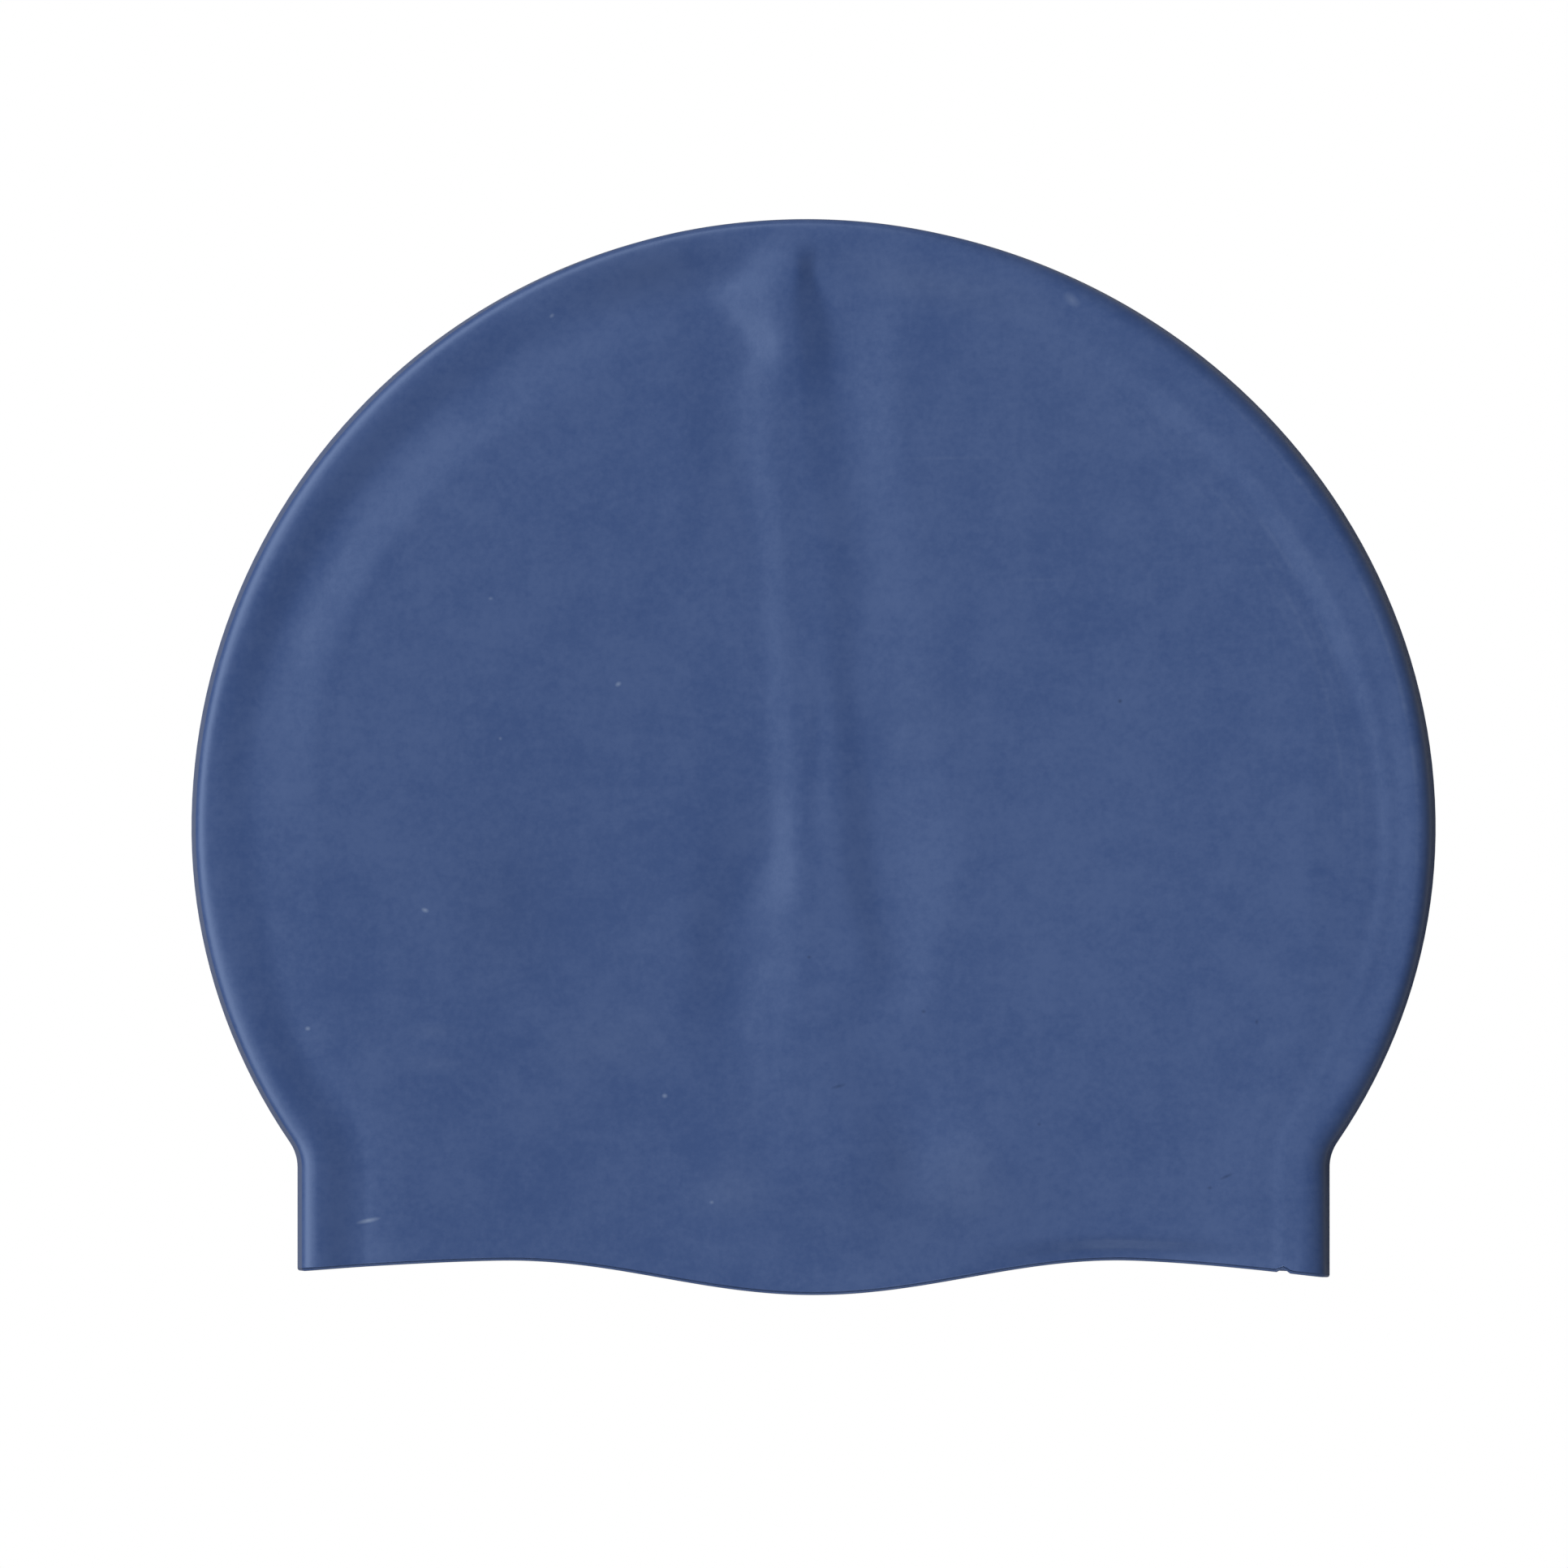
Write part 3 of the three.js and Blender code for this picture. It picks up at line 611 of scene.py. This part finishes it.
def silicone():
    """Plain blue silicone with a cloudy tone, fine grain, the marks of moulding and use, and painted light,
    shade and a highlight among those marks.
    """
    finish = Finish("silicone")
    cloud = finish.noise(9, 7, 0.78)
    patch = finish.noise(32, 3, 0.5)
    streak = finish.noise(5, 4, 0.7, (0.4, 1.6, 1))
    grain = finish.noise(1.2, 3, 0.65)

    # The noises add up to a mottle of about 0.84 to 1.4
    mottle = finish.math("MULTIPLY_ADD", patch, 0.45, cloud)
    mottle = finish.math("MULTIPLY_ADD", streak, 0.25, mottle)
    mottle = finish.math("MULTIPLY_ADD", grain, 0.55, mottle)
    tone = finish.ramp(mottle, 0.84, 1.40)
    colour = finish.mix(tone, DEEP_BLUE, LIGHT_BLUE)

    inset, along = finish.attribute("inset"), finish.attribute("along")
    rim_lines_and_highlight = 0.0
    for at, strength in RIM_LINES_AND_HIGHLIGHT:
        away = finish.math("ABSOLUTE", finish.math("SUBTRACT", inset, at))
        rim_lines_and_highlight = finish.math("MULTIPLY_ADD", finish.ramp(away, RIM_LINE_HALF_WIDTH, 0.0), strength, rim_lines_and_highlight)
    nape_side = finish.math(
        "MULTIPLY", finish.ramp(along, *RIM_LINES_FROM), finish.ramp(along, *RIM_LINES_TO)
    )
    rim_lines_and_highlight = finish.math("MULTIPLY", finish.math("MULTIPLY", rim_lines_and_highlight, nape_side), finish.ramp(cloud, 0.35, 0.65))

    # Pale specks and mould lines, a painted highlight along the nape side of the rim, and painted light inside
    # the rim near the crown's top
    pale_and_highlight = finish.math("ADD", finish.marks(PALE_SPECKS_AND_LIGHT), rim_lines_and_highlight, clamp=True)
    colour = finish.mix(pale_and_highlight, colour, PALE_SPECK_AND_HIGHLIGHT)
    # Dark specks and tone, with painted shade on the left half and inside the rim near the crown's top
    dark_and_shade = finish.math("MINIMUM", finish.marks(DARK_SPECKS_AND_SHADE), 1.0)
    colour = finish.mix(dark_and_shade, colour, DARK_SPECK_AND_SHADE)

    shader = finish.tree.nodes["Principled BSDF"]
    finish.put(shader.inputs["Base Color"], colour)
    finish.put(shader.inputs["Roughness"], finish.ramp(mottle, 0.82, 1.42, 0.37, 0.43))
    shader.inputs["IOR"].default_value = 1.52
    shader.inputs["Specular Tint"].default_value = GLOSS_TINT
    normal = finish.bump(cloud, 0.05)
    finish.put(shader.inputs["Normal"], finish.bump(grain, 0.008, normal))
    return finish.material


def light(name, place, along, across, power):
    """A softbox that faces the cap, with one side level."""
    data = bpy.data.lights.new(name, "AREA")
    data.shape = "RECTANGLE"
    data.size = along
    data.size_y = across
    data.energy = power
    made = bpy.data.objects.new(name, data)
    made.location = place
    made.rotation_mode = "QUATERNION"
    made.rotation_quaternion = made.location.to_track_quat("Z", "Y")
    made.visible_camera = False
    bpy.context.scene.collection.objects.link(made)


# The floor and the room look white, and throw back less light than that on the cap's edge
FLOOR_GREY = 0.36
ROOM_LIGHT = 0.135
KEY_TILT = math.radians(35)  # from upright, towards the forehead
KEY_DISTANCE = 5.0

CAMERA_HEIGHT = 2.5
CAMERA_PLACE = (-0.00523, -0.00503)
SENSOR_WIDTH = 36
FRAME_WIDTH = 0.27707  # width of the picture at the height of the cap's outline
SILHOUETTE_HEIGHT = 0.0045


def seen_white(nodes, links, shader, output):
    """White to the camera, while the cap is lit by the given shader."""
    seen = nodes.new("ShaderNodeLightPath")
    white = nodes.new("ShaderNodeEmission" if shader.type != "BACKGROUND" else "ShaderNodeBackground")
    mix = nodes.new("ShaderNodeMixShader")
    links.new(seen.outputs["Is Camera Ray"], mix.inputs[0])
    links.new(shader.outputs[0], mix.inputs[1])
    links.new(white.outputs[0], mix.inputs[2])
    links.new(mix.outputs[0], output.inputs["Surface"])
    white.inputs["Color"].default_value = (1, 1, 1, 1)
    white.inputs["Strength"].default_value = 1


def add_floor():
    """The surface that the cap lies on."""
    bpy.ops.mesh.primitive_plane_add(size=8)
    floor = bpy.context.object
    floor.name = "floor"
    floor.location.z = -0.0001
    material = bpy.data.materials.new("floor")
    material.use_nodes = True
    nodes, links = material.node_tree.nodes, material.node_tree.links
    nodes.clear()
    matte = nodes.new("ShaderNodeBsdfDiffuse")
    matte.inputs["Color"].default_value = (FLOOR_GREY, FLOOR_GREY, FLOOR_GREY, 1)
    seen_white(nodes, links, matte, nodes.new("ShaderNodeOutputMaterial"))
    floor.data.materials.append(material)


def add_room():
    """Even light from all round."""
    world = bpy.data.worlds.new("studio")
    world.use_nodes = True
    nodes, links = world.node_tree.nodes, world.node_tree.links
    nodes["Background"].inputs["Color"].default_value = (1, 1, 1, 1)
    nodes["Background"].inputs["Strength"].default_value = ROOM_LIGHT
    seen_white(nodes, links, nodes["Background"], nodes["World Output"])
    bpy.context.scene.world = world


def add_camera():
    """A camera straight above the cap, with the photograph's frame."""
    data = bpy.data.cameras.new("camera")
    data.sensor_width = SENSOR_WIDTH
    data.lens = SENSOR_WIDTH * (CAMERA_HEIGHT - SILHOUETTE_HEIGHT) / FRAME_WIDTH
    camera = bpy.data.objects.new("camera", data)
    camera.location = (*CAMERA_PLACE, CAMERA_HEIGHT)
    bpy.context.scene.collection.objects.link(camera)
    bpy.context.scene.camera = camera


cap = cap_shell()
cap.data.materials.append(silicone())
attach(cap, "root")
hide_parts("cap_shell")

add_floor()
add_room()
light("key", (-KEY_DISTANCE * math.sin(KEY_TILT), 0.6, KEY_DISTANCE * math.cos(KEY_TILT)), 7.0, 2.3, 310)
light("back", (-0.5, 2.1, 1.3), 1.2, 0.8, 15)
light("front", (0.3, -2.3, 0.75), 1.4, 0.5, 12)
add_camera()
bpy.context.scene.view_settings.view_transform = "Standard"
